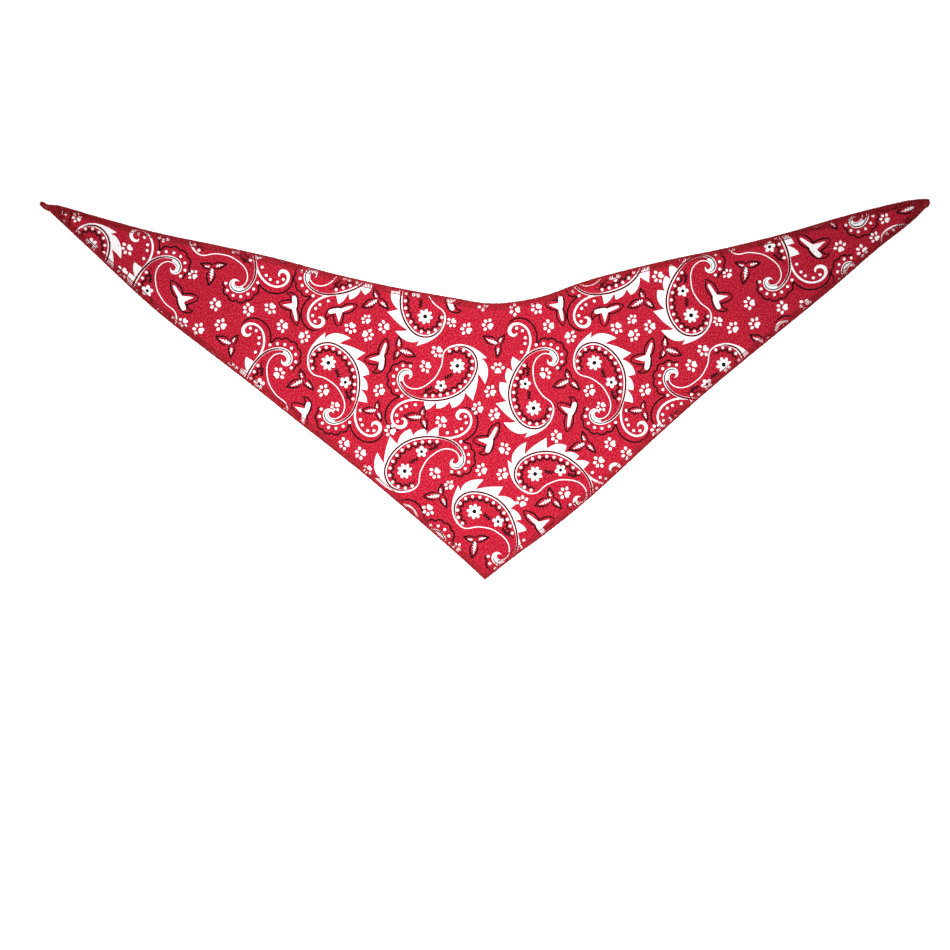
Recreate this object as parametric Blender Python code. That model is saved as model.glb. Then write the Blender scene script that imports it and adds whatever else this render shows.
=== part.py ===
"""A dog bandana laid flat, printed face up: one cotton triangle with three overlocked edges.

The triangle is wide and shallow and its neck edge is hollowed. Every solid is lofted through
sections that stand square to X, from the left tip to the right. The underside is flat, and the soft
swells of the cloth are in its upper face.
Metres, +X from tip to tip, +Y towards the neck edge, +Z up out of the printed face.
"""

import math
from collections import namedtuple

import bmesh
import bpy

MM = 0.001

# The cloth is a stand-in wall: the real cotton is about a third as thick.
CLOTH_WALL = 1.0 * MM
SEAM_GAP = 0.3 * MM

# The overlock is a band of thread that laps over the cut edge and rolls round it.
BAND_LAP = 4.4 * MM
BAND_WALL = 0.7 * MM
BAND_LIP = 0.8 * MM
BAND_ROUNDING = 0.45 * MM

# How the sections are spaced across the cloth, and how many strips each is made of.
SECTION_PITCH = 7.0 * MM
CLOTH_STRIPS = 24

# Where the panel stops short of the tails, and where the two lower edges meet.
PANEL_LEFT = -332.3 * MM
PANEL_RIGHT = 336.2 * MM
POINT_ACROSS = 0.0 * MM

# The finished outline, in millimetres from the origin: how far across, and how far up.
OutlineRow = namedtuple("OutlineRow", "across up")
NECK_EDGE = [
    OutlineRow(-332.3, 141.0),
    OutlineRow(-325.0, 140.3),
    OutlineRow(-297.0, 132.1),
    OutlineRow(-251.0, 119.7),
    OutlineRow(-205.0, 110.1),
    OutlineRow(-160.0, 100.2),
    OutlineRow(-114.0, 87.9),
    OutlineRow(-68.0, 77.7),
    OutlineRow(-22.0, 69.5),
    OutlineRow(2.3, 65.6),
    OutlineRow(23.7, 67.0),
    OutlineRow(46.6, 71.8),
    OutlineRow(69.5, 80.3),
    OutlineRow(92.4, 87.1),
    OutlineRow(138.3, 98.4),
    OutlineRow(184.0, 107.9),
    OutlineRow(230.0, 119.3),
    OutlineRow(276.0, 132.7),
    OutlineRow(322.0, 144.0),
    OutlineRow(336.2, 145.5),
]
LEFT_EDGE = [
    OutlineRow(-332.3, 135.1),
    OutlineRow(-320.1, 123.7),
    OutlineRow(-297.2, 102.2),
    OutlineRow(-262.8, 69.9),
    OutlineRow(-239.9, 50.4),
    OutlineRow(-182.6, 6.4),
    OutlineRow(-148.2, -21.0),
    OutlineRow(-113.8, -48.0),
    OutlineRow(-79.5, -75.9),
    OutlineRow(-22.2, -125.5),
    OutlineRow(0.0, -145.9),
]
RIGHT_EDGE = [
    OutlineRow(0.0, -145.9),
    OutlineRow(23.7, -127.3),
    OutlineRow(46.6, -110.6),
    OutlineRow(81.0, -82.6),
    OutlineRow(126.8, -40.5),
    OutlineRow(161.2, -9.5),
    OutlineRow(195.6, 19.7),
    OutlineRow(264.3, 75.9),
    OutlineRow(298.7, 105.9),
    OutlineRow(327.0, 128.3),
    OutlineRow(336.2, 137.7),
]

# Soft swells that lift the cloth off the table, in millimetres, with the way each one runs in degrees.
Swell = namedtuple("Swell", "across up heading half_length half_width height")
SWELLS = [
    Swell(3, -30, 90, 120, 9, 0.9),
    Swell(-263, 76, 50, 28, 16, 1.3),
    Swell(-205, 46, 55, 24, 13, 0.9),
    Swell(-141, 88, 80, 30, 15, 1.0),
    Swell(57, 70, 105, 34, 15, 1.2),
    Swell(81, -74, 130, 30, 16, 1.3),
    Swell(173, 4, 120, 26, 14, 1.0),
    Swell(240, 108, 75, 26, 14, 0.9),
    Swell(-316, 132, 60, 20, 11, 1.3),
    Swell(320, 134, 115, 20, 12, 1.3),
]

# The chained thread at each tip, in millimetres: one row for each section, from the cloth outwards.
TailRow = namedtuple("TailRow", "across up width height")
LEFT_TAIL = [
    TailRow(-332.7, 138.0, 5.2, 2.0),
    TailRow(-335.6, 139.3, 4.8, 2.0),
    TailRow(-338.4, 141.5, 4.0, 1.8),
    TailRow(-340.0, 142.3, 2.4, 1.4),
]
RIGHT_TAIL = [
    TailRow(336.6, 141.6, 7.0, 2.0),
    TailRow(338.5, 143.2, 5.0, 1.9),
    TailRow(340.0, 143.4, 2.8, 1.5),
]
TAIL_SIDES = 10


def on_curve(rows, across):
    """The height and slope, at this distance across, of the smooth curve through an outline's rows."""
    last = len(rows) - 1
    here = max(i for i in range(last) if i == 0 or rows[i].across * MM <= across)

    def slope_at(i):
        before, after = rows[max(i - 1, 0)], rows[min(i + 1, last)]
        return (after.up - before.up) / (after.across - before.across)

    start, end = rows[here], rows[here + 1]
    span = (end.across - start.across) * MM
    t = (across - start.across * MM) / span
    rise_out, rise_in = slope_at(here) * span, slope_at(here + 1) * span
    low, high = start.up * MM, end.up * MM
    height = (
        low * (2 * t**3 - 3 * t**2 + 1)
        + rise_out * (t**3 - 2 * t**2 + t)
        + high * (3 * t**2 - 2 * t**3)
        + rise_in * (t**3 - t**2)
    )
    rise = (
        (high - low) * (6 * t - 6 * t**2)
        + rise_out * (3 * t**2 - 4 * t + 1)
        + rise_in * (3 * t**2 - 2 * t)
    )
    return height, rise / span


def edge_stretch(rows, across):
    """How much longer a width is along Y than square to the edge, where a section cuts it aslant."""
    return math.hypot(1.0, on_curve(rows, across)[1])


def panel_edge(rows, across, outward):
    """Where the cut cloth ends, inside the rolled lip of the overlock. outward is +1 at the neck."""
    inset = (BAND_LIP + SEAM_GAP) * edge_stretch(rows, across)
    return on_curve(rows, across)[0] - outward * inset


def lower_rows(across):
    return LEFT_EDGE if across <= POINT_ACROSS else RIGHT_EDGE


def panel_limits(across):
    low = panel_edge(lower_rows(across), across, -1)
    high = panel_edge(NECK_EDGE, across, 1)
    return low, high


def cloth_top(across, up):
    """The height of the cloth's upper face, with its swells."""
    top = CLOTH_WALL
    for swell in SWELLS:
        heading = math.radians(swell.heading)
        dx, dy = across - swell.across * MM, up - swell.up * MM
        along = dx * math.cos(heading) + dy * math.sin(heading)
        beside = dy * math.cos(heading) - dx * math.sin(heading)
        reach = (along / (swell.half_length * MM)) ** 2 + (beside / (swell.half_width * MM)) ** 2
        top += swell.height * MM * math.exp(-reach)
    return top


def stations(start, end):
    count = max(2, round((end - start) / SECTION_PITCH))
    return [start + (end - start) * i / count for i in range(count + 1)]


def panel_ring(across):
    """One section of the cloth: flat below, and following the swells above."""
    low, high = panel_limits(across)
    ring = [(across, high, 0.0), (across, low, 0.0)]
    for i in range(CLOTH_STRIPS + 1):
        up = low + (high - low) * i / CLOTH_STRIPS
        ring.append((across, up, cloth_top(across, up)))
    return ring


def band_ring(rows, across, outward):
    """One section of an overlocked edge: a lap over the cloth, and a lip that rolls down to the table."""
    stretch = edge_stretch(rows, across)
    low, high = panel_limits(across)
    edge = high if outward > 0 else low
    room = (high - low) / 2 - SEAM_GAP / 2
    lap = min(BAND_LAP * stretch, room)

    def above(up, lift):
        inside = min(max(up, low), high)
        return cloth_top(across, inside) + SEAM_GAP + lift

    inner, middle = edge - outward * lap, edge - outward * lap / 2
    seat = edge + outward * SEAM_GAP * stretch
    outer = seat + outward * BAND_LIP * stretch
    shoulder = outer - outward * BAND_ROUNDING * stretch
    return [
        (across, inner, above(inner, 0)),
        (across, middle, above(middle, 0)),
        (across, seat, above(seat, 0)),
        (across, seat, 0.0),
        (across, outer, 0.0),
        (across, outer, above(outer, BAND_WALL - BAND_ROUNDING)),
        (across, shoulder, above(shoulder, BAND_WALL)),
        (across, middle, above(middle, BAND_WALL)),
        (across, inner, above(inner, BAND_WALL)),
    ]


def tail_ring(row):
    """One section of a thread tail: a flat oval that lies on the table."""
    ring = []
    for i in range(TAIL_SIDES):
        turn = 2 * math.pi * (i + 0.5) / TAIL_SIDES
        up = row.up + row.width / 2 * math.cos(turn)
        rise = row.height / 2 * (1 + math.sin(turn) / math.sin(math.pi / 2 - math.pi / TAIL_SIDES))
        ring.append((row.across * MM, up * MM, max(rise, 0.0) * MM))
    return ring


def lofted(name, rings, material, collection):
    """A closed solid through rings of equal count, each extruded from the one before it."""
    bm = bmesh.new()
    first = [bm.verts.new(point) for point in rings[0]]
    edges = [bm.edges.new((a, b)) for a, b in zip(first, first[1:] + first[:1])]
    bm.faces.new(first)
    newest = first
    for ring in rings[1:]:
        made = bmesh.ops.extrude_edge_only(bm, edges=edges)["geom"]
        # The tool makes one new edge for each old one, and each new point sits on the old one it came from.
        sources = {tuple(vert.co): i for i, vert in enumerate(newest)}
        moved = [v for v in made if isinstance(v, bmesh.types.BMVert)]
        newest = [None] * len(ring)
        for vert in moved:
            newest[sources[tuple(vert.co)]] = vert
        for vert, point in zip(newest, ring):
            vert.co = point
        edges = [e for e in made if isinstance(e, bmesh.types.BMEdge) and set(e.verts) <= set(newest)]
    bm.faces.new(newest)
    bmesh.ops.recalc_face_normals(bm, faces=bm.faces)
    bmesh.ops.triangulate(bm, faces=bm.faces)
    mesh = bpy.data.meshes.new(name)
    bm.to_mesh(mesh)
    bm.free()
    mesh.shade_smooth()
    mesh.set_sharp_from_angle(angle=math.radians(35))
    mesh.materials.append(material)
    piece = bpy.data.objects.new(name, mesh)
    collection.objects.link(piece)
    return piece


def plain_material(name, colour, roughness):
    material = bpy.data.materials.new(name)
    material.use_nodes = True
    shader = material.node_tree.nodes["Principled BSDF"]
    shader.inputs["Base Color"].default_value = (*colour, 1.0)
    shader.inputs["Roughness"].default_value = roughness
    shader.inputs["Metallic"].default_value = 0.0
    return material


def build():
    for startup in list(bpy.data.objects):
        bpy.data.objects.remove(startup)
    bandana = bpy.data.collections.new("dog_bandana")
    bpy.context.scene.collection.children.link(bandana)

    cotton = plain_material("printed_cotton", (0.66, 0.015, 0.045), 0.85)
    thread = plain_material("overlock_thread", (0.48, 0.012, 0.03), 0.7)

    across_cloth = stations(PANEL_LEFT, POINT_ACROSS) + stations(POINT_ACROSS, PANEL_RIGHT)[1:]
    lofted("cotton_panel", [panel_ring(x) for x in across_cloth], cotton, bandana)

    # The overlocked bands meet at the tips along the middle of the cloth, and at the point on its centre.
    lofted("neck_overlock", [band_ring(NECK_EDGE, x, 1) for x in across_cloth], thread, bandana)
    left = stations(PANEL_LEFT, POINT_ACROSS - SEAM_GAP / 2)
    lofted("left_overlock", [band_ring(LEFT_EDGE, x, -1) for x in left], thread, bandana)
    right = stations(POINT_ACROSS + SEAM_GAP / 2, PANEL_RIGHT)
    lofted("right_overlock", [band_ring(RIGHT_EDGE, x, -1) for x in right], thread, bandana)

    lofted("left_tail", [tail_ring(row) for row in LEFT_TAIL], thread, bandana)
    lofted("right_tail", [tail_ring(row) for row in RIGHT_TAIL], thread, bandana)


build()
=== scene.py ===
"""A dog bandana laid flat: one triangle of printed cotton, three overlocked edges, chained thread ends.

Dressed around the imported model. Metres, +X from tip to tip, +Y towards the neck edge, +Z up out of the
printed face.
"""

import math
import random
from collections import namedtuple

import bmesh
import bpy
import numpy as np
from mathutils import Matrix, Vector
from mathutils.bvhtree import BVHTree
from mathutils.geometry import delaunay_2d_cdt


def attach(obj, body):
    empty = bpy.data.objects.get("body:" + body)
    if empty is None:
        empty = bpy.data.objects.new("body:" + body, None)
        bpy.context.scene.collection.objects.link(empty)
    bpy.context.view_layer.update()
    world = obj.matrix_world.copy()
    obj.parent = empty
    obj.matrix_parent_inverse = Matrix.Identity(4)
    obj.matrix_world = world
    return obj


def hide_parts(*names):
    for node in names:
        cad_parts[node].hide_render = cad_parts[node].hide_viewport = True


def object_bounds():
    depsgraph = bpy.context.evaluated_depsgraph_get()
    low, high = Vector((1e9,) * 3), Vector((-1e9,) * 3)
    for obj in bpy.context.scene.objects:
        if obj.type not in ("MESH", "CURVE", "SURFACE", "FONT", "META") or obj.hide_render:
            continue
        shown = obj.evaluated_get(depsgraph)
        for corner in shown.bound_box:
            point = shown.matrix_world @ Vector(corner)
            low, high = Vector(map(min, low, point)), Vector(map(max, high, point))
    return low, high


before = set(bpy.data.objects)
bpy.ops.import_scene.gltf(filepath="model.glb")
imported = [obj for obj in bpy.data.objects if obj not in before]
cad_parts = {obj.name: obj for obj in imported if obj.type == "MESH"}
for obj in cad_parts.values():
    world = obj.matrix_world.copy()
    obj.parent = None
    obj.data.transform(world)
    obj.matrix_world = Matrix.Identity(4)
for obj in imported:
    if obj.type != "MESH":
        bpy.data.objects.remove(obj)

cad_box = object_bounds()
MM = 0.001
scene = bpy.context.scene

# The view is the photograph's: from straight above, neck edge up, through a lens so long that nothing
# leans. One pixel of the 950 is 0.764 mm on the cloth.
PIXEL = 0.764 * MM
PHOTO_PIXELS = 950
VIEW_CENTRE = Vector((-7.6, -65.7, 0.0)) * MM
CAMERA_HEIGHT = 6.0
SENSOR_WIDTH = 36.0

view = bpy.data.cameras.new("view")
view.sensor_width = SENSOR_WIDTH
view.lens = SENSOR_WIDTH * CAMERA_HEIGHT / (PHOTO_PIXELS * PIXEL)
view.clip_end = 4 * CAMERA_HEIGHT
camera = bpy.data.objects.new("view", view)
camera.location = VIEW_CENTRE + Vector((0.0, 0.0, CAMERA_HEIGHT))
scene.collection.objects.link(camera)
scene.camera = camera
scene.view_settings.view_transform = "Standard"

# The table is plain white paper that glows a little, so that it stays white out to the corners, where the
# one soft lamp above the middle of the cloth has faded. The paper is matt, with no gloss of its own.
FLOOR_REACH = 3.0
FLOOR_PAPER = "#E6E6E6"
FLOOR_ROUGHNESS = 0.9
FLOOR_GLOW = 0.80
PLAIN_WHITE = "#FFFFFF"
LAMP_PLACE = Vector((-26.0, -42.0, 480.0)) * MM
LAMP_SIZE = 0.26
LAMP_POWER = 4.3
ROOM_LIGHT = 0.10


def linear(hex_colour):
    """An sRGB hex colour as the linear RGBA that Blender's sockets take."""
    parts = [int(hex_colour[i : i + 2], 16) / 255 for i in (1, 3, 5)]
    return [c / 12.92 if c <= 0.04045 else ((c + 0.055) / 1.055) ** 2.4 for c in parts] + [1.0]


def new_material(name):
    """A material with the Principled shader alone, and that shader."""
    material = bpy.data.materials.new(name)
    material.use_nodes = True
    return material, material.node_tree.nodes["Principled BSDF"]


floor_bm = bmesh.new()
bmesh.ops.create_grid(floor_bm, x_segments=1, y_segments=1, size=FLOOR_REACH)
floor_mesh = bpy.data.meshes.new("floor")
floor_bm.to_mesh(floor_mesh)
floor_bm.free()
floor = bpy.data.objects.new("floor", floor_mesh)
scene.collection.objects.link(floor)
floor_material, floor_shader = new_material("white_paper")
floor_shader.inputs["Base Color"].default_value = linear(FLOOR_PAPER)
floor_shader.inputs["Roughness"].default_value = FLOOR_ROUGHNESS
floor_shader.inputs["Specular IOR Level"].default_value = 0.0
floor_shader.inputs["Emission Color"].default_value = linear(PLAIN_WHITE)
floor_shader.inputs["Emission Strength"].default_value = FLOOR_GLOW
floor_mesh.materials.append(floor_material)

lamp = bpy.data.lights.new("soft_lamp", "AREA")
lamp.shape = "DISK"
lamp.size = LAMP_SIZE
lamp.energy = LAMP_POWER
lamp_object = bpy.data.objects.new("soft_lamp", lamp)
lamp_object.location = LAMP_PLACE
lamp_object.visible_camera = False
scene.collection.objects.link(lamp_object)
room = bpy.data.worlds.new("room")
room.use_nodes = True
room.node_tree.nodes["Background"].inputs["Color"].default_value = linear(PLAIN_WHITE)
room.node_tree.nodes["Background"].inputs["Strength"].default_value = ROOM_LIGHT
scene.world = room

# The cloth is one triangle of plain-weave cotton, about 130 g a square metre, dyed red and printed on its
# upper face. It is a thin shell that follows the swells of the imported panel, a little off the table where
# the overlock's threads run under its edge. Places on it are in millimetres, across and up.
CLOTH_THICKNESS = 0.35 * MM
SOLID_WALL = 1.0 * MM
RESTING_TOP = 0.60 * MM
SEAM_LIFT = 0.40 * MM
SEAM_LIFT_REACH = 9.0 * MM
SECTION_APART = 0.5
MISSING_CORNER = 2.0
RIPPLES = 14
RIPPLE_PITCH = (60, 260)
RIPPLE_HEIGHT = (0.01, 0.035)
WELL_ABOVE = 50.0

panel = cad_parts["cotton_panel"]


def spans_across(node):
    """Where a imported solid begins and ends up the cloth, at each of its sections: (across, low, high)."""
    spans = []
    for across, up in sorted((vert.co.x / MM, vert.co.y / MM) for vert in node.data.vertices):
        if not spans or across > spans[-1][0] + SECTION_APART:
            spans.append([across, up, up])
        spans[-1][1:] = min(spans[-1][1], up), max(spans[-1][2], up)
    # On a straight stretch of edge a section can lack its corner there, and such a section is left out
    return [
        here for before, here, after in zip(spans[:1] + spans, spans, spans[1:] + spans[-1:])
        if here[2] > min(before[2], after[2]) - MISSING_CORNER
        and here[1] < max(before[1], after[1]) + MISSING_CORNER
    ]


panel_spans = spans_across(panel)
across_rows = [row[0] for row in panel_spans]
low_rows = [row[1] for row in panel_spans]
high_rows = [row[2] for row in panel_spans]
outline = list(zip(across_rows, low_rows)) + list(zip(across_rows, high_rows))[::-1]

panel_form = BVHTree.FromPolygons(
    [vert.co for vert in panel.data.vertices], [face.vertices for face in panel.data.polygons]
)
UNEVEN = random.Random(7)
ripples = [
    (
        UNEVEN.uniform(*RIPPLE_PITCH),
        UNEVEN.uniform(0, math.tau),
        UNEVEN.uniform(0, math.tau),
        UNEVEN.uniform(*RIPPLE_HEIGHT),
    )
    for _ in range(RIPPLES)
]


def eased(low, high, value):
    """From 0 at low to 1 at high, with a gentle start and end."""
    t = min(1.0, max(0.0, (value - low) / (high - low)))
    return t * t * (3 - 2 * t)


def room_to_edge(across, up):
    """How far a point is from the neck edge or a lower edge, whichever is nearer, up the cloth."""
    low = np.interp(across, across_rows, low_rows)
    high = np.interp(across, across_rows, high_rows)
    return min(up - low, high - up)


def cloth_top(across, up):
    """The height of the cloth's printed face, in metres, at a place in millimetres."""
    hit = panel_form.ray_cast(Vector((across, up, WELL_ABOVE)) * MM, Vector((0.0, 0.0, -1.0)))[0]
    if hit is None:
        hit = panel_form.find_nearest(Vector((across, up, 1.0)) * MM)[0]
    lift = SEAM_LIFT * (1 - eased(0.0, SEAM_LIFT_REACH, room_to_edge(across, up) * MM))
    sway = 0.0
    for pitch, heading, phase, height in ripples:
        along = across * math.cos(heading) + up * math.sin(heading)
        sway += height * math.sin(math.tau * along / pitch + phase)
    return max(hit.z - SOLID_WALL, 0.0) + RESTING_TOP + lift + sway * MM


# The print is a traditional bandana print with paws: paisleys with a flame fringe, small paws, three-leaf
# sprigs and three-lobed blooms, in white and a dark brown-black on the dyed red. Each motif is drawn by
# its own formula in millimetres, pointing up, as closed patches of one ink, in the order that they are
# printed. A share runs from 0 at the start of a path to 1 at its end.
Patch = namedtuple("Patch", "ink outline")
patches = []


def swept(start, length, heading, count):
    """A path of this length that turns as heading(share) says, in degrees clockwise from up."""
    path = [start]
    for i in range(count):
        turn = math.radians(heading((i + 0.5) / count))
        x, y = path[-1]
        path.append((x + length / count * math.sin(turn), y + length / count * math.cos(turn)))
    return path


def left_of(path):
    """The direction to the left of a path at each of its points."""
    found = []
    for i in range(len(path)):
        (x0, y0), (x1, y1) = path[max(i - 1, 0)], path[min(i + 1, len(path) - 1)]
        size = math.hypot(x1 - x0, y1 - y0)
        found.append(((y0 - y1) / size, (x1 - x0) / size))
    return found


def beside(path, offset):
    """The path moved to its left by offset(share)."""
    last = len(path) - 1
    return [
        (x + nx * offset(i / last), y + ny * offset(i / last))
        for i, ((x, y), (nx, ny)) in enumerate(zip(path, left_of(path)))
    ]


def stroke(path, width):
    """The outline of a line drawn along a path, width(share) wide."""
    left = beside(path, lambda share: width(share) / 2)
    right = beside(path, lambda share: -width(share) / 2)
    return left + right[::-1]


def length_of(path):
    """How long a path is."""
    return sum(math.dist(a, b) for a, b in zip(path, path[1:]))


def along(path, distance):
    """The point this far along a path, and the direction to its left there."""
    left = left_of(path)
    for i in range(len(path) - 1):
        step = math.dist(path[i], path[i + 1])
        if distance <= step or i == len(path) - 2:
            t = distance / step
            point = [a + (b - a) * t for a, b in zip(path[i], path[i + 1])]
            side = [a + (b - a) * t for a, b in zip(left[i], left[i + 1])]
            return point, side
        distance -= step


def evened(path, step):
    """The path again, with its points about one step apart."""
    total = length_of(path)
    count = max(1, round(total / step))
    return [along(path, total * i / count)[0] for i in range(count + 1)]


def set_down(start, heading, points):
    """Points given beside and along a heading, in degrees clockwise from up, in their place from start."""
    c, s = math.cos(math.radians(heading)), math.sin(math.radians(heading))
    return [(start[0] + x * c + y * s, start[1] + y * c - x * s) for x, y in points]


DISC_SIDES = 8


def disc(at, radius, squash=1.0, turn=0.0):
    """A round patch, or with squash an oval one."""
    c, s = math.cos(turn), math.sin(turn)
    ring = []
    for i in range(DISC_SIDES):
        a = math.tau * i / DISC_SIDES
        x, y = radius * math.cos(a), radius * squash * math.sin(a)
        ring.append((at[0] + x * c - y * s, at[1] + x * s + y * c))
    return ring


# The paisley stands tail up, its origin at its big flower. A spine bends to the left and curls over to
# the right. The body is HEAD wide to each side of it beside the round head and TAIL wide at the curl. NECK
# draws its inner side in beside the head, and BEND sets its middle to the right of the spine.
HEAD = 15.4
TAIL = 1.0
NECK = 2.9
BEND = 1.35
SPINE_START = (0.5, -0.8)
SPINE_LENGTH = 79.0
SPINE_STEPS = 80
TAIL_FROM = 61
BACK_STEPS = 22
RIM_STEP = 1.1

# Its lines. The white one is LINE_WIDTH wide. From DOUBLE_FROM on it is DOUBLE_WIDTH wider, and a red gap
# HAIRLINE wide parts it, with a dark hairline in the gap that takes HAIRLINE_DARK of its width.
LINE_WIDTH = 0.72
LINING_STEPS = 110
DOUBLE_FROM = 17.8
DOUBLE_WIDTH = 1.25
HAIRLINE = 1.45
HAIRLINE_DARK = 0.62
HAIRLINE_SHORT_OF_END = 6.0
HAIRLINE_STEPS = 90
TAIL_HAIRLINE = 0.45
TAIL_HAIRLINE_STEPS = 24
DARK_LINE = 1.25
SQUIGGLE_LINE = 1.0
PEN_STEP = 0.9
SCALLOP_STEPS = 6
TENDRIL_START = (-10.4, 34.2)
TENDRIL_LENGTH = 55.5
TENDRIL_STEPS = 40
TENDRIL_OUTSIDE = slice(13, 33)

# Its dots, flowers and squiggles. A flower is given by its place, petals, radius, heart and eye, and a
# squiggle by its start, heading, length, sway and turns.
DOT = 1.15
BODY_DOTS = 14
BODY_DOTS_LEAD = 5.2
DOT_ROW_END = 37
DOT_ROW_STEPS = 120
TAIL_DOTS = 7
TAIL_DOTS_OUT = 2.8
TAIL_DOTS_SPAN = slice(52, 74)
TENDRIL_DOTS_AT = (0.14, 0.29, 0.41, 0.55, 0.70)
FLOWER_TURN = 0.2
PETAL_STEPS = 6
FLOWERS = (((0.0, 0.0), 8, 5.9, 3.3, 1.7), ((-6.4, 18.6), 5, 4.5, 2.3, 1.35))
SQUIGGLES = (((-3.5, 6.8), 2, 6.4, 1.4, 6), ((-4.6, 24.6), 8, 6.6, 1.3, 6))

# Its flames: how long each one's foot is, how high it stands, how far its tip leans on, how its back
# swells, and how high the notch before the next one is. Their feet reach in under the white line.
Flame = namedtuple("Flame", "base height lean swell notch")
FLAMES_FROM = 19.0
FLAMES_UNDER_LINE = 0.6
FLAME_STEPS = 7
FLAMES = [
    Flame(21.3, 7.4, 0.7, (0.75, 0.15), 2.6),
    Flame(10.5, 9.4, 4.4, (0.4, 0.95), 1.2),
    Flame(17.0, 10.2, -0.4, (0.9, 0.75), 1.4),
    Flame(13.2, 7.2, -0.6, (0.5, 1.1), 1.6),
    Flame(9.5, 5.6, 0.6, (0.4, 1.1), 0.4),
    Flame(9.3, 6.8, -0.2, (0.5, 0.9), 0.2),
]


def spine_heading(share):
    """Which way the spine runs: up and to the left, then over to the right, and round at its tail."""
    return min(350, -49 + 161 * share + 280 * share**7.5)


def half_width(share):
    """How far the outer side of the body is from its spine."""
    full = HEAD * math.exp(-((share / 0.48) ** 1.6)) + TAIL * eased(0.66, 0.85, share)
    return full * min(1.0, 11 * (1 - share) + 0.04)


def leans(share):
    """How far the middle of the body stands to the right of its spine."""
    return BEND * math.exp(-(((share - 0.4) / 0.13) ** 2))


def neck(share):
    """How much the inner side is drawn in beside the round head."""
    return NECK * math.exp(-((share / 0.15) ** 2))


def tendril_heading(share):
    """Which way the tendril runs: out of the body and over to the left, closing into a curl."""
    return 43 - 88 * share - 217 * share**2.9 - 85 * share**9


def pointed(share, blunt=0.3):
    """How much of its full width a pen line has, thinning towards its two ends."""
    return min(1.0, 12 * share + blunt, 12 * (1 - share) + blunt)


def flower(paint, at, petals, radius, heart, eye):
    """A round flower with a dark eye. Its petals part at heart from the middle."""
    ring = []
    count = petals * PETAL_STEPS
    for i in range(count):
        a = math.tau * i / count
        reach = heart + (radius - heart) * abs(math.cos(petals * a / 2)) ** 0.9
        ring.append((at[0] + reach * math.sin(a + FLOWER_TURN), at[1] + reach * math.cos(a + FLOWER_TURN)))
    paint("white", ring)
    paint("dark", disc(at, eye))


def zigzag(start, heading, length, sway, turns):
    """A path that runs to and fro across a straight line."""
    c, s = math.cos(math.radians(heading)), math.sin(math.radians(heading))
    path = []
    for i in range(turns + 1):
        run, side = length * i / turns, sway * (1 if i % 2 else -1)
        path.append((start[0] + run * s + side * c, start[1] + run * c - side * s))
    return path


def body_of_paisley():
    """The spine of a paisley and the outer and inner side of its body, and the rim that they make."""
    spine = swept(SPINE_START, SPINE_LENGTH, spine_heading, SPINE_STEPS)
    outer = beside(spine, lambda share: half_width(share) - leans(share))
    inner = beside(spine, lambda share: neck(share) - half_width(share) - leans(share))
    back = []
    for i in range(1, BACK_STEPS):
        turn = math.radians(spine_heading(0) + 90 + 180 * i / BACK_STEPS)
        reach = HEAD - NECK * math.exp(-((i / 3.2) ** 2))
        back.append((SPINE_START[0] + reach * math.sin(turn), SPINE_START[1] + reach * math.cos(turn)))
    return spine, outer, inner, evened(inner[::-1] + back + outer, RIM_STEP)


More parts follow.
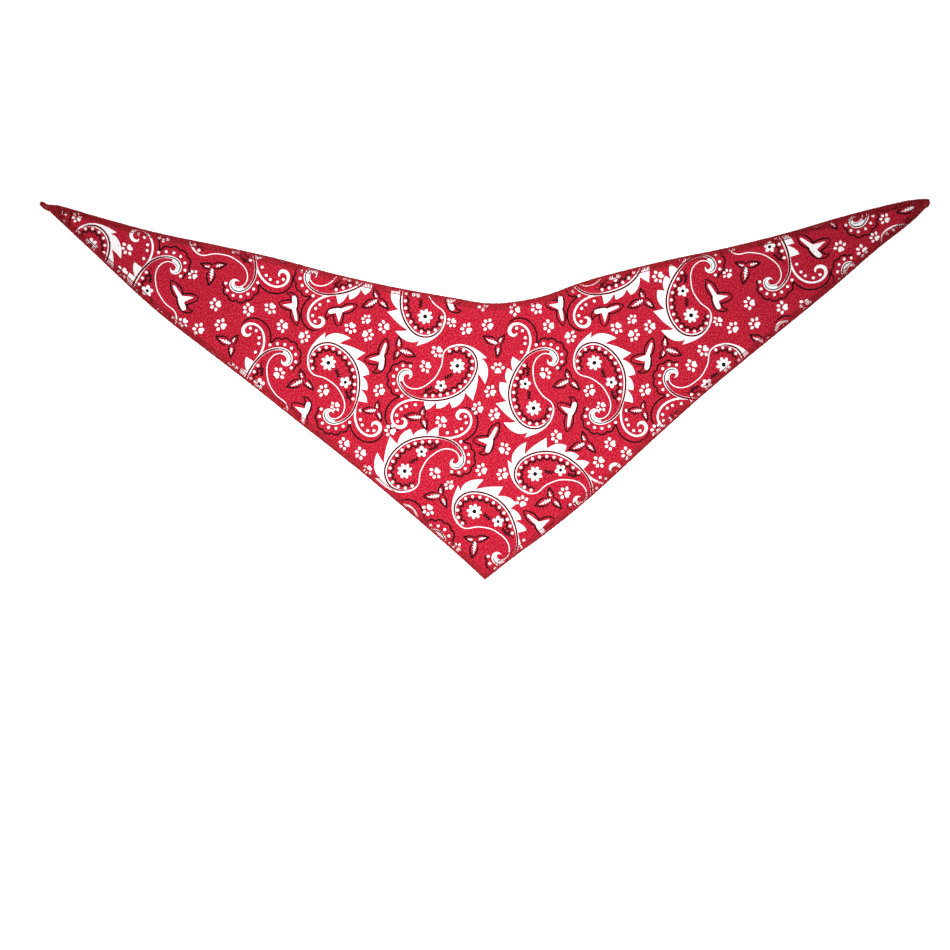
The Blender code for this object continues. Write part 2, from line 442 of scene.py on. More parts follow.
def paisley(paint):
    """A paisley with its fringe of flames, tendril, lines, dots and two flowers."""
    spine, outer, inner, rim = body_of_paisley()
    inner_length, total = length_of(inner), length_of(rim)
    flames_end = inner_length + FLAMES_FROM + sum(flame.base for flame in FLAMES)
    double = inner_length + DOUBLE_FROM

    def at_rim(distance, out):
        (x, y), (nx, ny) = along(rim, distance)
        return (x + nx * out, y + ny * out)

    # Flames along the outer side, each swept towards the tail
    start, low = inner_length + FLAMES_FROM, 0.2
    for flame in FLAMES:
        edge = []
        for i in range(FLAME_STEPS + 1):
            t = i / FLAME_STEPS
            swell = 2 * t * (1 - t)
            reach = swell * flame.base * flame.swell[0] + t * t * (flame.base + flame.lean)
            out = (1 - t) ** 2 * low + swell * flame.height * flame.swell[1] + t * t * flame.height
            edge.append(at_rim(start + reach, out))
        edge.append(at_rim(start + flame.base + 0.4 * flame.lean, 0.58 * flame.notch + 0.42 * flame.height))
        edge.append(at_rim(start + flame.base, flame.notch))
        edge += [at_rim(start + flame.base * i / 4, -FLAMES_UNDER_LINE) for i in range(4, -1, -1)]
        paint("white", edge)
        start, low = start + flame.base, flame.notch

    # The tendril, which springs from the outer side and curls the other way, thickest in its curl
    def tendril_width(share):
        return (1.45 + 1.2 * eased(0.6, 0.88, share)) * min(1, 7 * (1 - share) + 0.3)

    tendril = swept(TENDRIL_START, TENDRIL_LENGTH, tendril_heading, TENDRIL_STEPS)
    paint("white", stroke(tendril, tendril_width))

    # The white line round the body, single on the inner side and double, with a dark hairline, on the
    # outer. The hairline lies further in beside the head and the tail than beneath the flames.
    paint("white", rim)
    inner_merge = length_of(inner[TAIL_FROM:])
    merge = total - length_of(outer[TAIL_FROM:])
    lining = []
    for i in range(LINING_STEPS + 1):
        d = inner_merge + (merge - inner_merge) * i / LINING_STEPS
        lining.append(at_rim(d, -LINE_WIDTH - DOUBLE_WIDTH * eased(double - 12, double + 10, d)))
    paint("red", lining)
    hairline = []
    for i in range(HAIRLINE_STEPS + 1):
        d = double + (total - double - HAIRLINE_SHORT_OF_END) * i / HAIRLINE_STEPS
        beneath = eased(double + 5, double + 14, d) * (1 - eased(flames_end - 8, flames_end + 4, d))
        hairline.append(at_rim(d, -1.1 + 0.65 * beneath))

    def gap_width(share):
        return HAIRLINE * pointed(share)

    paint("red", stroke(hairline, lambda share: gap_width(share) * (1 - 0.5 * eased(0.75, 0.85, share))))
    paint("dark", stroke(hairline, lambda share: HAIRLINE_DARK * gap_width(share)))
    second = []
    for i in range(TAIL_HAIRLINE_STEPS + 1):
        second.append(at_rim(inner_merge * (1.1 - 0.65 * i / TAIL_HAIRLINE_STEPS), -0.95))
    paint("dark", stroke(second, lambda share: TAIL_HAIRLINE * pointed(share)))

    # A row of dots inside the line, and the scalloped line that runs round them
    head, tail = inner_length + 4.2, total - length_of(outer[DOT_ROW_END:]) + 6.4
    row = []
    for i in range(DOT_ROW_STEPS + 1):
        row.append(at_rim(head + (tail - head) * i / DOT_ROW_STEPS, -2.9 - 1.3 * eased(5, 55, i)))
    row = evened(row, 0.7)
    row_length = length_of(row)
    pitch = (row_length - 2 * BODY_DOTS_LEAD) / (BODY_DOTS - 1)
    for i in range(BODY_DOTS):
        paint("white", disc(along(row, BODY_DOTS_LEAD + pitch * i)[0], DOT))
    scallop = []
    for i in range(SCALLOP_STEPS * (BODY_DOTS + 1) + 1):
        d = min(max(BODY_DOTS_LEAD + pitch * (i / SCALLOP_STEPS - 1), 0.0), row_length)
        (x, y), (nx, ny) = along(row, d)
        deep = 0.8 + 2.3 * abs(math.cos(math.pi * i / SCALLOP_STEPS)) ** 1.2
        deep *= min(1.0, 0.35 + 0.65 * d / BODY_DOTS_LEAD, 0.35 + 0.65 * (row_length - d) / BODY_DOTS_LEAD)
        scallop.append((x - nx * deep, y - ny * deep))
    paint("dark", stroke(evened(scallop, PEN_STEP), lambda share: DARK_LINE * pointed(share)))
    for petals in FLOWERS:
        flower(paint, *petals)
    for squiggle in SQUIGGLES:
        legs = zigzag(*squiggle)
        for leg in zip(legs, legs[1:]):
            paint("dark", stroke(leg, lambda share: SQUIGGLE_LINE))

    # Dots and a scalloped line round the curl of the tail
    halo = beside(spine[TAIL_DOTS_SPAN], lambda share: half_width(0.65 + 0.27 * share) + TAIL_DOTS_OUT)
    halo = evened(halo, 0.6)
    pitch = (length_of(halo) - 0.6) / (TAIL_DOTS - 1)
    for i in range(TAIL_DOTS):
        paint("white", disc(along(halo, 0.3 + pitch * i)[0], DOT))
    crown = []
    for i in range(SCALLOP_STEPS, 45):
        beat = i / SCALLOP_STEPS - 0.5
        (x, y), (nx, ny) = along(halo, min(max(0.3 + pitch * beat, 0.0), length_of(halo)))
        lift = 0.9 + 2.6 * math.sin(math.pi * min(1.0, i / 37))
        lift += 1.6 * abs(math.cos(math.pi * beat)) ** 0.8
        crown.append((x + nx * lift, y + ny * lift))

    # The tendril's dots, and the line round its outside, which runs on round the tail
    beads = beside(tendril, lambda share: 4.2 - 1.1 * share)
    for share in TENDRIL_DOTS_AT:
        paint("white", disc(beads[round(TENDRIL_STEPS * share)], DOT))
    outside = beside(tendril[TENDRIL_OUTSIDE], lambda share: 7.0 * share * share - 4.5 * share - 4.7)
    outside = evened(outside[::-1] + crown, PEN_STEP)
    paint("dark", stroke(outside, lambda share: DARK_LINE * pointed(share)))


# The paw is a three-lobed pad with a hollow under it, and four oval toes in a fan
PAD_REACH = 2.25
PAD_HOLLOW = 0.75
TOE_LENGTH = 1.45
TOE_SQUASH = 0.8
TOES_AT = (-68, -23, 23, 68)


def paw(paint):
    """A three-lobed pad and four toes."""
    pad = []
    for i in range(12):
        a = math.tau * i / 12
        reach = PAD_REACH * (1 + 0.10 * math.cos(3 * a) - 0.06 * math.cos(2 * a))
        reach -= PAD_HOLLOW * math.exp(-(((math.degrees(a) - 180) / 26) ** 2))
        pad.append((1.02 * reach * math.sin(a), reach * math.cos(a) - 2.1))
    paint("white", pad)
    for turn in TOES_AT:
        a = math.radians(turn)
        at = (4.1 * math.sin(a), 4.7 * math.cos(a) - 1.3)
        paint("white", disc(at, TOE_LENGTH, TOE_SQUASH, math.pi / 2 - a))


# The sprig has three leaves, outlined in the dark ink, each with a serrated white vein. A leaf is given by
# its root, heading, length and widths to the left and right, and a vein by its root, heading, both ends,
# reach and barbs.
LEAF_LINE = 1.1
LOW_LEAVES = (((1.2, -1.2), -111, 12.7, 3.0, 3.1), ((-0.8, -1.0), 97, 10.7, 3.0, 2.7))
LONG_LEAF = ((0.0, 0.4), 0, 13.3, 3.8, 3.5)
VEINS = (
    ((-0.2, 0.0), -3, -0.2, 9.4, 1.85, 5),
    ((1.2, -1.2), -111, 3.8, 9.2, 1.3, 3),
    ((-0.8, -1.0), 90, 2.8, 6.6, 1.05, 2),
)


def leaf_edge(start, heading, length, left, right, inset=0.0):
    """The outline of a pointed leaf, this wide to its left and right."""
    edge = []
    for side, width in ((1, right), (-1, left)):
        row = []
        for i in range(11):
            t = i / 10
            full = width * math.sin(math.pi * t**0.8) ** 0.9 * (1.1 - 0.25 * t)
            row.append((side * max(0.0, full - inset), length * t * (1 - 0.9 * inset / length)))
        edge += row if side > 0 else row[-2:0:-1]
    return set_down(start, heading, edge)


def vein(start, heading, low, high, reach, barbs):
    """A serrated vein that runs from low to high along a leaf."""
    teeth = []
    for i in range(2 * barbs + 1):
        t = i / (2 * barbs)
        tooth = reach * math.sin(math.pi * (0.2 + 0.8 * t)) * (1.0 if i % 2 else 0.12)
        teeth.append((tooth, low + (high - low) * t**1.2))
    far = [(-0.85 * x, y + 0.3 * (high - low) / barbs) for x, y in teeth[-2::-1]]
    return set_down(start, heading, teeth + far)


def sprig(paint):
    """Three leaves, the longest pointing up over the roots of the other two."""
    for leaves in (LOW_LEAVES, (LONG_LEAF,)):
        for leaf in leaves:
            paint("dark", leaf_edge(*leaf))
        for leaf in leaves:
            paint("red", leaf_edge(*leaf, inset=LEAF_LINE))
    for line in VEINS:
        paint("white", vein(*line))


# The bloom has three lobes, outlined in the dark ink, and a white stroke from its heart up each of them.
# Each lobe and stroke is a path, swept from a start over a length, with a width along it.
def bloom(paint):
    """A three-lobed bloom: the longest lobe points up, and the lowest ends in a hook."""
    up = swept((-0.3, -2.0), 18.2, lambda share: 1.0, 12)
    side = swept((-1.5, -1.2), 13.8, lambda share: 104 + 16 * share, 10)
    hook = swept((-1.2, 1.5), 17.6, lambda share: 196 - 24 * share - 100 * share**3, 14)
    lobes = (
        (up, lambda share: 8.7 * math.sin(math.pi * share**0.92) ** 0.8),
        (side, lambda share: 9.6 * math.sin(math.pi * (0.3 + 0.7 * share)) ** 0.5),
        (hook, lambda share: 6.9 * math.sin(math.pi * (0.2 + 0.8 * share)) ** 0.9),
    )
    for path, width in lobes:
        paint("dark", stroke(path, width))
    for path, width in lobes:
        most = (len(path) - 2) / (len(path) - 1)
        paint("red", stroke(path[:-1], lambda share: max(0.0, width(most * share) - 2 * DARK_LINE)))
    heart_up = swept((-0.4, -2.5), 13.8, lambda share: 0.0, 6)
    heart_side = swept((-0.9, -0.7), 9.3, lambda share: 110.0, 6)
    heart_low = swept((-0.6, 1.4), 10.8, lambda share: 200 - 18 * share, 6)
    paint("white", stroke(heart_up, lambda share: (3.6 - 1.7 * share) * pointed(share, 0.7)))
    paint("white", stroke(heart_side, lambda share: 5.6 * (1 - share) + 0.2))
    paint("white", stroke(heart_low, lambda share: (3.7 - 0.1 * share) * pointed(share, 0.6)))


# Where the motifs of one repeat stand: across and up in millimetres, and turned clockwise from up. The
# print repeats every 8 inches along the cloth, and its rows step aside a little. The tips were pulled as
# the cloth was laid out, which draws the print with them: PULLED across and LIFTED up, in millimetres.
REPEAT_ACROSS = 203.2
REPEAT_UP = 208.6
ROW_STEP = 3.4
PULL_AT = [-313, -273, -225, -206, -180, -118, 164, 225, 245, 257, 279, 300, 325]
PULLED = [-2.3, -3.1, -1.8, -0.9, -0.2, 0, 0, 1.0, 2.3, 4.2, 3.8, 4.9, 6.9]
LIFT_AT = [-325, -302, -279, -267, -256, -237, 118, 149, 199, 225, 250, 264, 340]
LIFTED = [6.5, 6.1, 4.6, 2.7, 1.1, 0, 0, 0.9, 0.9, 1.5, 3.4, 5.0, 5.3]
Place = namedtuple("Place", "across up turn size mirror", defaults=(1.0, 1))
PAISLEY_CHART = [
    Place(107.5, 103.9, 225),
    Place(-45.7, 55.4, 0),
    Place(-119.6, 20.0, 158),
    Place(-21.1, 17.7, 239),
    Place(37.1, -14.6, 0),
    Place(-61.3, -62.7, 60),
    Place(38.3, -64.9, 100.5),
    Place(-8.1, -93.6, 132),
]
PAW_CHART = [
    Place(300.6, 124.7, 296, 0.85),
    Place(293.4, 110.8, 290, 0.85),
    Place(267.2, 103.6, 338),
    Place(-270.0, 104.0, 237),
    Place(284.3, 100.5, 262),
    Place(132.6, 85.6, 242),
    Place(-1.5, 64.6, 263),
    Place(39.7, 61.9, 221),
    Place(23.1, 60.7, 267),
    Place(-90.5, 53.0, 313, 0.82),
    Place(-25.2, 51.0, 231, 0.82),
    Place(2.4, 48.9, 298),
    Place(48.9, 48.1, 264),
    Place(-76.9, 47.5, 267),
    Place(-102.4, 46.9, 213),
    Place(-13.9, 45.7, 302),
    Place(-89.8, 41.3, 115),
    Place(64.9, 40.0, 116),
    Place(-36.3, 28.8, 232),
    Place(-45.1, 17.2, 246),
    Place(9.9, 15.8, 0),
    Place(45.8, 11.8, 53),
    Place(-80.4, -1.1, 296),
    Place(-123.0, -1.4, 298),
    Place(4.4, -1.9, 299),
    Place(-114.1, -13.1, 232, 0.82),
    Place(-5.3, -14.8, 291),
    Place(7.5, -19.5, 291),
    Place(-33.1, -24.8, 231),
    Place(-72.0, -31.6, 298),
    Place(54.9, -36.2, 267),
    Place(95.9, -41.9, 265),
    Place(14.6, -45.8, 62),
    Place(108.4, -49.0, 262),
    Place(87.3, -55.5, 231),
    Place(-89.5, -61.6, 232, 0.82),
    Place(-2.4, -61.8, 290),
    Place(-37.8, -63.9, 224),
    Place(13.7, -65.1, 296),
    Place(-27.1, -73.7, 309, 0.82),
    Place(61.2, -79.5, 298),
    Place(28.3, -86.0, 340),
    Place(-43.3, -92.1, 212),
    Place(-21.4, -121.5, 315, 0.82),
]
SPRIG_CHART = [
    Place(320.9, 133.9, 250),
    Place(-82.7, 67.7, 245),
    Place(9.2, 34.7, 298, 0.95),
    Place(-64.4, 29.6, 113, 0.97),
    Place(-139.6, 6.3, 248),
    Place(-83.5, -16.3, 271, 0.85),
    Place(-49.2, -21.5, 275, 0.97),
    Place(75.9, -41.6, 248),
    Place(-34.9, -81.5, 268, 0.97),
    Place(50.1, -84.4, 249),
    Place(-7.6, -116.7, 191),
]
BLOOM_CHART = [
    Place(-26.7, 69.5, 330),
    Place(56.8, 62.3, 168, 0.92),
    Place(-110.7, 59.2, 70, 0.92),
    Place(-79.7, 24.2, 18, mirror=-1),
    Place(64.9, -18.3, 189, 0.95),
    Place(3.4, -39.0, 28, mirror=-1),
    Place(41.2, -103.2, 311),
]


def printer(place, aside, above):
    """A way to print a motif's patches: turned, set down in its place, and pulled with the cloth."""
    root = (place.across + aside, place.up + above)

    def put(ink, shape):
        sized = [(x * place.size * place.mirror, y * place.size) for x, y in shape]
        edge = []
        for across, up in set_down(root, place.turn, sized):
            lifted = up + float(np.interp(across, LIFT_AT, LIFTED))
            edge.append((across + float(np.interp(across, PULL_AT, PULLED)), lifted))
        left, right = min(p[0] for p in edge), max(p[0] for p in edge)
        columns = np.linspace(left, right, 5)
        beyond_tip = right < across_rows[0] or left > across_rows[-1]
        above_neck = min(p[1] for p in edge) > max(np.interp(columns, across_rows, high_rows))
        below_edges = max(p[1] for p in edge) < min(np.interp(columns, across_rows, low_rows))
        if not (beyond_tip or above_neck or below_edges):
            patches.append(Patch(ink, edge))

    return put


MOTIFS = ((paisley, PAISLEY_CHART), (paw, PAW_CHART), (sprig, SPRIG_CHART), (bloom, BLOOM_CHART))
for motif, chart in MOTIFS:
    drawing = []
    motif(lambda ink, edge: drawing.append((ink, edge)))
    for row in range(-2, 3):
        for column in range(-3, 4):
            for place in chart:
                put = printer(place, column * REPEAT_ACROSS + row * ROW_STEP, row * REPEAT_UP)
                for ink, edge in drawing:
                    put(ink, edge)


def inside(shape, places):
    """Which of these places lie within a closed outline, by how often it winds round them."""
    ax, ay = shape[:, 0], shape[:, 1]
    bx, by = np.roll(ax, -1), np.roll(ay, -1)
    px, py = places[:, :1], places[:, 1:]
    left = (bx - ax) * (py - ay) - (px - ax) * (by - ay)
    rises = (ay <= py) & (by > py) & (left > 0)
    falls = (ay > py) & (by <= py) & (left < 0)
    return rises.sum(axis=1) != falls.sum(axis=1)


# The face of the cloth is cut into triangles along the edge of every patch of ink, which no operator does,
# so that the print is as crisp as the real one. The last patch printed over a triangle gives it its ink.
# Points GRID apart, in staggered rows at 0.87 of that, let the cloth bend where it is bare.
GRID = 4.5
GRID_RISE = 0.87
GRID_ROWS = 40
GRID_COLUMNS = 80
EDGE_ROOM = 2.0
MERGE_WITHIN = 0.02
INKS = ("red", "white", "dark")

corners = [Vector(p) for p in outline]
bounds_of_ink = [(i, (i + 1) % len(outline)) for i in range(len(outline))]
for patch in patches:
    first, count = len(corners), len(patch.outline)
    corners += [Vector(p) for p in patch.outline]
    bounds_of_ink += [(first + i, first + (i + 1) % count) for i in range(count)]
for row in range(-GRID_ROWS, GRID_ROWS + 1):
    for column in range(-GRID_COLUMNS, GRID_COLUMNS + 1):
        spot = Vector(((column + 0.5 * (row % 2)) * GRID, GRID_RISE * row * GRID))
        between_tips = across_rows[0] + EDGE_ROOM < spot.x < across_rows[-1] - EDGE_ROOM
        if between_tips and room_to_edge(*spot) > EDGE_ROOM:
            corners.append(spot)
flat, _, triangles = delaunay_2d_cdt(corners, bounds_of_ink, [], 0, MERGE_WITHIN)[:3]
flat = np.array(flat)
triangles = np.array(triangles)
middles = flat[triangles].mean(axis=1)
kept = (middles[:, 0] > across_rows[0]) & (middles[:, 0] < across_rows[-1])
kept &= middles[:, 1] > np.interp(middles[:, 0], across_rows, low_rows)
kept &= middles[:, 1] < np.interp(middles[:, 0], across_rows, high_rows)
triangles, middles = triangles[kept], middles[kept]
ink_of = np.zeros(len(triangles), int)
for patch in patches:
    shape = np.array(patch.outline)
    near = np.all((middles > shape.min(axis=0)) & (middles < shape.max(axis=0)), axis=1)
    near = np.nonzero(near)[0]
    ink_of[near[inside(shape, middles[near])]] = INKS.index(patch.ink)

cloth_bm = bmesh.new()
spots = {}
for i in np.unique(triangles):
    across, up = flat[i]
    spots[i] = cloth_bm.verts.new((across * MM, up * MM, cloth_top(across, up)))
for triangle, ink in zip(triangles, ink_of):
    face = cloth_bm.faces.new([spots[i] for i in triangle])
    face.material_index = int(ink)
lower = bmesh.ops.extrude_face_region(cloth_bm, geom=cloth_bm.faces[:], use_keep_orig=True)["geom"]
lower = [part for part in lower if isinstance(part, bmesh.types.BMVert)]
bmesh.ops.translate(cloth_bm, verts=lower, vec=(0.0, 0.0, -CLOTH_THICKNESS))
bmesh.ops.recalc_face_normals(cloth_bm, faces=cloth_bm.faces[:])

# Each ink has its own part of the cloth's texture map, seen from above, so no ink runs into the next one:
# the three inks of the printed face and then of its reverse, each as (left, bottom, width)
MAP_PARTS = [(0.01, 0.01, 0.98), (0.02, 0.45, 0.42), (0.52, 0.45, 0.42)]
MAP_PARTS += [(0.02, 0.64, 0.42), (0.52, 0.64, 0.42), (0.02, 0.82, 0.42)]
FACES_UP = 0.3
low_corner, high_corner = (Vector(corner) for corner in cad_box)


def place_in_map(place, part):
    """Where a point lies in one part of the texture map."""
    left, bottom, wide = part
    share = (place - low_corner) * wide / (high_corner.x - low_corner.x)
    return (left + share.x, bottom + share.y)


cloth_map = cloth_bm.loops.layers.uv.new("OFBake")
for face in cloth_bm.faces:
    face.smooth = True
    if face.normal.z < FACES_UP:
        face.material_index += len(INKS)
    for loop in face.loops:
        loop[cloth_map].uv = place_in_map(loop.vert.co, MAP_PARTS[face.material_index])
cloth_mesh = bpy.data.meshes.new("printed_cotton")
cloth_bm.to_mesh(cloth_mesh)
cloth_bm.free()
cloth = bpy.data.objects.new("printed_cotton", cloth_mesh)
scene.collection.objects.link(cloth)

# Dyed and printed plain-weave cotton: matt, with a faint nap that breaks its colour up, and unevenly thick
# yarns both ways. The yarns are 0.35 mm apart and are drawn 1.3 mm apart, because finer ones don't show in
# the render. On the reverse the dye is paler and the print shows through dully.
YARN_PITCH = 1.3 * MM
YARN_RELIEF = 0.12 * MM
SLUB_LENGTH = 14.0 * MM
SLUB_WIDTH = 1.6 * MM
MOTTLE = 32.0 * MM
NAP = 1.1 * MM
COTTON_GLOSS = 0.08
COTTON_SHEEN_ROUGHNESS = 0.6
DYED_RED = "#A80E29"
WHITE_PRINT = "#F5F1F3"
DARK_PRINT = "#0E0507"
REVERSE_RED = "#97283A"
REVERSE_WHITE = "#BE7A82"
REVERSE_DARK = "#5E1F2A"


def add_node(tree, kind, inputs=(), **settings):
    """A node with its settings, whose inputs are given as values or as sockets to link."""
    node = tree.nodes.new(kind)
    for name, value in settings.items():
        setattr(node, name, value)
    for name, value in dict(inputs).items():
        if isinstance(value, bpy.types.NodeSocket):
            tree.links.new(value, node.inputs[name])
        else:
            node.inputs[name].default_value = value
    return node


def bands_every(pitch):
    """The scale at which a wave texture's bands are this far apart."""
    return math.tau / (20 * pitch)


def woven_cotton(name, colour, roughness, sheen):
    """Printed cotton in one ink."""
    material, shader = new_material(name)
    tree = material.node_tree
    place = add_node(tree, "ShaderNodeTexCoord").outputs["Object"]

    # The yarns, and the slubs in them, both ways
    yarn = {
        "Vector": place, "Scale": bands_every(YARN_PITCH),
        "Distortion": 0.6, "Detail": 1.0, "Detail Scale": 0.4,
    }
    yarns = []
    slubs = []
    for direction, sizes in (("X", (SLUB_WIDTH, SLUB_LENGTH)), ("Y", (SLUB_LENGTH, SLUB_WIDTH))):
        wave = add_node(tree, "ShaderNodeTexWave", yarn, wave_type="BANDS", bands_direction=direction)
        yarns.append(wave.outputs["Fac"])
        scales = (1 / sizes[0], 1 / sizes[1], 1.0)
        stretched = add_node(tree, "ShaderNodeMapping", {"Vector": place, "Scale": scales})
        slub = add_node(
            tree, "ShaderNodeTexNoise",
            {"Vector": stretched.outputs["Vector"], "Scale": 1.0, "Detail": 2.0},
            noise_dimensions="2D",
        )
        slubs.append(slub.outputs["Fac"])
    crossing = add_node(tree, "ShaderNodeMath", {0: yarns[0], 1: yarns[1]}, operation="MULTIPLY")
    streaks = add_node(tree, "ShaderNodeMath", {0: slubs[0], 1: slubs[1]}, operation="ADD")

    # The colour, lighter and darker with the dye and the nap, and deeper where it is darker. It is also
    # lighter where the yarns cross and darker between them: painted shade of the weave
    mottle = add_node(
        tree, "ShaderNodeTexNoise",
        {"Vector": place, "Scale": 1 / MOTTLE, "Detail": 3.0},
        noise_dimensions="2D",
    )
    uneven = add_node(
        tree, "ShaderNodeMath", {0: streaks.outputs[0], 1: mottle.outputs["Fac"]}, operation="ADD"
    )
    level = add_node(
        tree, "ShaderNodeMapRange",
        {"Value": uneven.outputs[0], "From Min": 1.0, "From Max": 2.0, "To Min": 0.92, "To Max": 1.08},
    )
    # Painted shade of the weave: lighter where the yarns cross, darker in the gaps between them
    weave_painted_shade = add_node(
        tree, "ShaderNodeMapRange",
        {"Value": crossing.outputs[0], "From Min": 0.0, "From Max": 1.0, "To Min": 0.965, "To Max": 1.03},
    )
    nap = add_node(
        tree, "ShaderNodeTexNoise",
        {"Vector": place, "Scale": 1 / NAP, "Detail": 2.0},
        noise_dimensions="2D",
    )
    fuzz = add_node(
        tree, "ShaderNodeMapRange",
        {"Value": nap.outputs["Fac"], "From Min": 0.3, "From Max": 0.7, "To Min": 0.78, "To Max": 1.22},
    )
    depth = add_node(
        tree, "ShaderNodeMapRange",
        {"Value": nap.outputs["Fac"], "From Min": 0.3, "From Max": 0.7, "To Min": 1.05, "To Max": 0.93},
    )
    shade = add_node(
        tree, "ShaderNodeMath",
        {0: level.outputs["Result"], 1: weave_painted_shade.outputs["Result"]}, operation="MULTIPLY",
    )
    shade = add_node(
        tree, "ShaderNodeMath", {0: shade.outputs[0], 1: fuzz.outputs["Result"]}, operation="MULTIPLY"
    )
    tint = add_node(
        tree, "ShaderNodeHueSaturation",
        {"Color": linear(colour), "Value": shade.outputs[0], "Saturation": depth.outputs["Result"]},
    )
    tree.links.new(tint.outputs["Color"], shader.inputs["Base Color"])

    # The relief of the weave
    relief = add_node(
        tree, "ShaderNodeMath", {0: crossing.outputs[0], 1: streaks.outputs[0]}, operation="ADD"
    )
    bump = add_node(
        tree, "ShaderNodeBump", {"Height": relief.outputs[0], "Strength": 0.35, "Distance": YARN_RELIEF}
    )
    tree.links.new(bump.outputs["Normal"], shader.inputs["Normal"])
    shader.inputs["Roughness"].default_value = roughness
    shader.inputs["Specular IOR Level"].default_value = COTTON_GLOSS
    shader.inputs["Sheen Weight"].default_value = sheen
    shader.inputs["Sheen Roughness"].default_value = COTTON_SHEEN_ROUGHNESS
    return material


for name, colour, roughness, sheen in (
    ("dyed_red_cotton", DYED_RED, 0.86, 0.02),
    ("white_printed_cotton", WHITE_PRINT, 0.82, 0.01),
    ("dark_printed_cotton", DARK_PRINT, 0.80, 0.01),
    ("reverse_red_cotton", REVERSE_RED, 0.9, 0.05),
    ("reverse_white_cotton", REVERSE_WHITE, 0.9, 0.05),
    ("reverse_dark_cotton", REVERSE_DARK, 0.9, 0.05),
):
    cloth_mesh.materials.append(woven_cotton(name, colour, roughness, sheen))
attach(cloth, "root")
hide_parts("cotton_panel")

# Each cut edge is overlocked with three spun red threads: an upper looper to and fro across the top, a
# lower looper that comes round from beneath and over the rim, and a needle thread that holds both to the
# cloth. Near the tips the stitches crowd, and the upper looper takes a further turn.
STITCH_PITCH = 1.15
THREAD_RADIUS = 0.30
NEEDLE_IN = 4.9
LOOPER_LAP = 1.3
TIP_RUN = 12.0
STRAY = random.Random(23)

# One stitch of each thread: half stitches along, how many millimetres in from the rim, and how many over
# the top of the cloth or over the table
UPPER_STITCH = (
    (0, NEEDLE_IN, 0.18, "top"),
    (0, 2.6, 0.38, "top"),
    (1, 0.55, 0.32, "top"),
    (1, 0.24, 0.70, "table"),
    (2, 2.0, 0.38, "top"),
)
TIP_TURN = ((1, NEEDLE_IN, 0.34, "top"), (1, 1.0, 0.44, "top"), (2, 3.6, 0.44, "top"))
UNDER_STITCH = (
    (0, NEEDLE_IN, 0.34, "table"),
    (0, 0.7, 0.34, "table"),
    (0, 0.20, 0.60, "table"),
    (1, LOOPER_LAP, 0.48, "top"),
    (2, 0.20, 0.66, "table"),
    (2, 0.7, 0.34, "table"),
)
NEEDLE_STITCH = ((0, NEEDLE_IN, 0.0, "top"), (1, NEEDLE_IN, 0.34, "top"))


def stray(size):
    """How far a thread strays, either way."""
    return STRAY.uniform(-size, size)


def overlock(rim, inward):
    """The three threads along a rim, each as a path of points in millimetres."""
    steps = evened(rim, STITCH_PITCH / 2)
    sides = [Vector(side) * inward for side in left_of(steps)]
    upper, under, needle = [], [], []

    def at(i, far_in, height, base):
        i = min(max(i, 0), len(steps) - 1)
        spot = Vector(steps[i]) + sides[i] * (far_in + stray(0.14)) + Vector((stray(0.12), stray(0.12)))
        floor_height = cloth_top(*spot) / MM if base == "top" else 0.0
        return (spot.x, spot.y, floor_height + height + stray(0.03))

    for i in range(0, len(steps) - 1, 2):
        near_tip = abs(steps[i][0]) > across_rows[-1] - TIP_RUN
        upper += [at(i + ahead, *where) for ahead, *where in UPPER_STITCH]
        if near_tip:
            upper += [at(i + ahead, *where) for ahead, *where in TIP_TURN]
        under += [at(i + ahead, *where) for ahead, *where in UNDER_STITCH]
        needle += [at(i + ahead, *where) for ahead, *where in NEEDLE_STITCH]
    return [upper, under, needle]


def sew(name, paths, radius):
    """One mesh of thread along these paths."""
    curve = bpy.data.curves.new(name, "CURVE")
    curve.dimensions = "3D"
    curve.bevel_depth = radius * MM
    curve.bevel_resolution = 1
    curve.use_fill_caps = True
    for path in paths:
        spline = curve.splines.new("POLY")
        spline.points.add(len(path) - 1)
        for point, place in zip(spline.points, path):
            point.co = (place[0] * MM, place[1] * MM, place[2] * MM, 1.0)
    guide = bpy.data.objects.new(name + "_guide", curve)
    scene.collection.objects.link(guide)
    thread_bm = bmesh.new()
    thread_bm.from_mesh(guide.to_mesh())
    bpy.data.objects.remove(guide)
    bmesh.ops.recalc_face_normals(thread_bm, faces=thread_bm.faces[:])
    thread_map = thread_bm.loops.layers.uv.new("OFBake")
    for face in thread_bm.faces:
        face.smooth = True
        for loop in face.loops:
            loop[thread_map].uv = place_in_map(loop.vert.co, MAP_PARTS[0])
    mesh = bpy.data.meshes.new(name)
    thread_bm.to_mesh(mesh)
    thread_bm.free()
    thread = bpy.data.objects.new(name, mesh)
    scene.collection.objects.link(thread)
    return thread


# Spun thread: matt and soft, its plies twisted every 1.5 mm. Its lighter and darker speckles fall at random
# and are partly the thread's own uneven tone and partly painted shade in the gaps between its loops and
# painted highlights on them, drawn stronger and coarser than real because finer ones don't show in the
# render.
THREAD_RED = "#990C1D"
THREAD_SPECKLE = 1.7 * MM
PLY_PITCH = 1.5 * MM
PLY_RELIEF = 0.1 * MM
THREAD_ROUGHNESS = 0.75
THREAD_GLOSS = 0.25
THREAD_SHEEN = 0.05
thread_material, thread_shader = new_material("spun_thread")
thread_tree = thread_material.node_tree
thread_place = add_node(thread_tree, "ShaderNodeTexCoord").outputs["Object"]
ply = add_node(
    thread_tree, "ShaderNodeTexWave",
    {"Vector": thread_place, "Scale": bands_every(PLY_PITCH), "Distortion": 2.0},
    wave_type="BANDS", bands_direction="DIAGONAL",
)
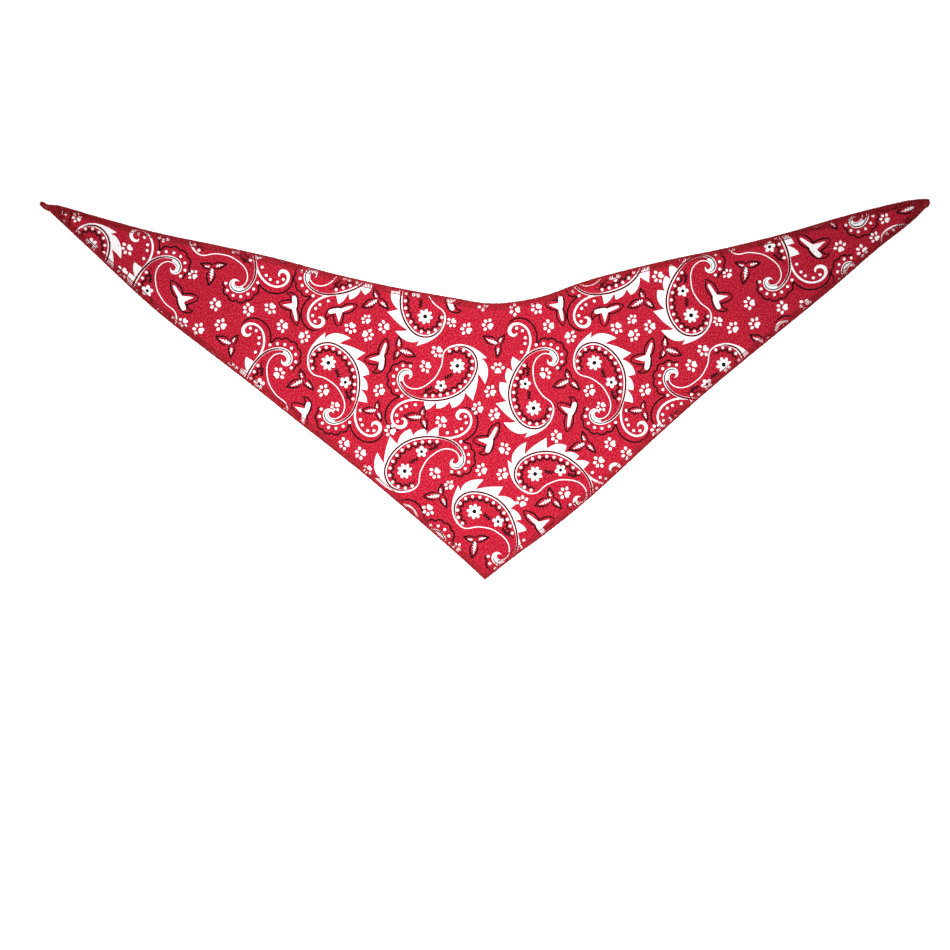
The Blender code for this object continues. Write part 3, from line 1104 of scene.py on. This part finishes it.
# Random speckle of the thread's colour: its own uneven tone, with painted shade between the loops and
# painted highlights on them
speckle_and_painted_shade = add_node(
    thread_tree, "ShaderNodeTexNoise", {"Vector": thread_place, "Scale": 1 / THREAD_SPECKLE, "Detail": 3.0}
)
thread_tone_and_painted_shade = add_node(
    thread_tree, "ShaderNodeMapRange",
    {"Value": speckle_and_painted_shade.outputs["Fac"], "From Min": 0.25, "From Max": 0.75, "To Min": 0.36, "To Max": 1.62},
)
thread_tint = add_node(
    thread_tree, "ShaderNodeHueSaturation",
    {"Color": linear(THREAD_RED), "Value": thread_tone_and_painted_shade.outputs["Result"]},
)
thread_tree.links.new(thread_tint.outputs["Color"], thread_shader.inputs["Base Color"])
thread_bump = add_node(
    thread_tree, "ShaderNodeBump", {"Height": ply.outputs["Fac"], "Strength": 0.5, "Distance": PLY_RELIEF}
)
thread_tree.links.new(thread_bump.outputs["Normal"], thread_shader.inputs["Normal"])
thread_shader.inputs["Roughness"].default_value = THREAD_ROUGHNESS
thread_shader.inputs["Specular IOR Level"].default_value = THREAD_GLOSS
thread_shader.inputs["Sheen Weight"].default_value = THREAD_SHEEN

for name, inward in (("neck_overlock", -1), ("left_overlock", 1), ("right_overlock", 1)):
    rows = spans_across(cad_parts[name])
    rim = [(row[0], row[2] if name == "neck_overlock" else row[1]) for row in rows]
    edging = sew(name.replace("overlock", "edge_thread"), overlock(rim, inward), THREAD_RADIUS)
    edging.data.materials.append(thread_material)
    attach(edging, "root")
    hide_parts(name)

# At each tip the overlock ran on past the cloth and left a short chain of its own threads, cut off close.
# Its strands wind round one another along a route of points, each with the chain's width and height there.
TAIL_STRAND = 0.36
TAIL_STRANDS = 9
TAIL_STEPS = 26
TailPoint = namedtuple("TailPoint", "across up width height")
LEFT_TAIL = [
    TailPoint(-331.5, 138.6, 5.4, 2.0),
    TailPoint(-332.7, 138.0, 5.2, 2.0),
    TailPoint(-335.6, 139.3, 4.8, 2.0),
    TailPoint(-338.4, 141.5, 4.0, 1.8),
    TailPoint(-339.7, 142.2, 2.4, 1.4),
]
RIGHT_TAIL = [
    TailPoint(335.0, 141.0, 6.6, 2.0),
    TailPoint(336.6, 141.6, 7.0, 2.0),
    TailPoint(338.5, 143.2, 5.0, 1.9),
    TailPoint(339.6, 143.4, 2.8, 1.5),
]


def chain(points, strands, twists):
    """Strands that wind round one another inside a flattened, narrowing oval."""
    paths = []
    route = [(point.across, point.up) for point in points]
    far = [length_of(route[: i + 1]) for i in range(len(route))]
    for strand in range(strands):
        path = []
        for i in range(TAIL_STEPS + 1):
            distance = far[-1] * i / TAIL_STEPS
            (x, y), (nx, ny) = along(route, distance)
            width = np.interp(distance, far, [point.width for point in points]) / 2 - TAIL_STRAND
            height = np.interp(distance, far, [point.height for point in points]) / 2
            turn = math.tau * (strand / strands + twists * i / TAIL_STEPS)
            side = width * math.sin(turn)
            lift = height + (height - TAIL_STRAND) * math.cos(turn)
            path.append((x + nx * side, y + ny * side, lift))
        paths.append(path)
    return paths


for name, points, twists in (("left_tail", LEFT_TAIL, 1.1), ("right_tail", RIGHT_TAIL, -0.7)):
    tail = sew(name.replace("tail", "thread_tail"), chain(points, TAIL_STRANDS, twists), TAIL_STRAND)
    tail.data.materials.append(thread_material)
    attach(tail, "root")
    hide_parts(name)
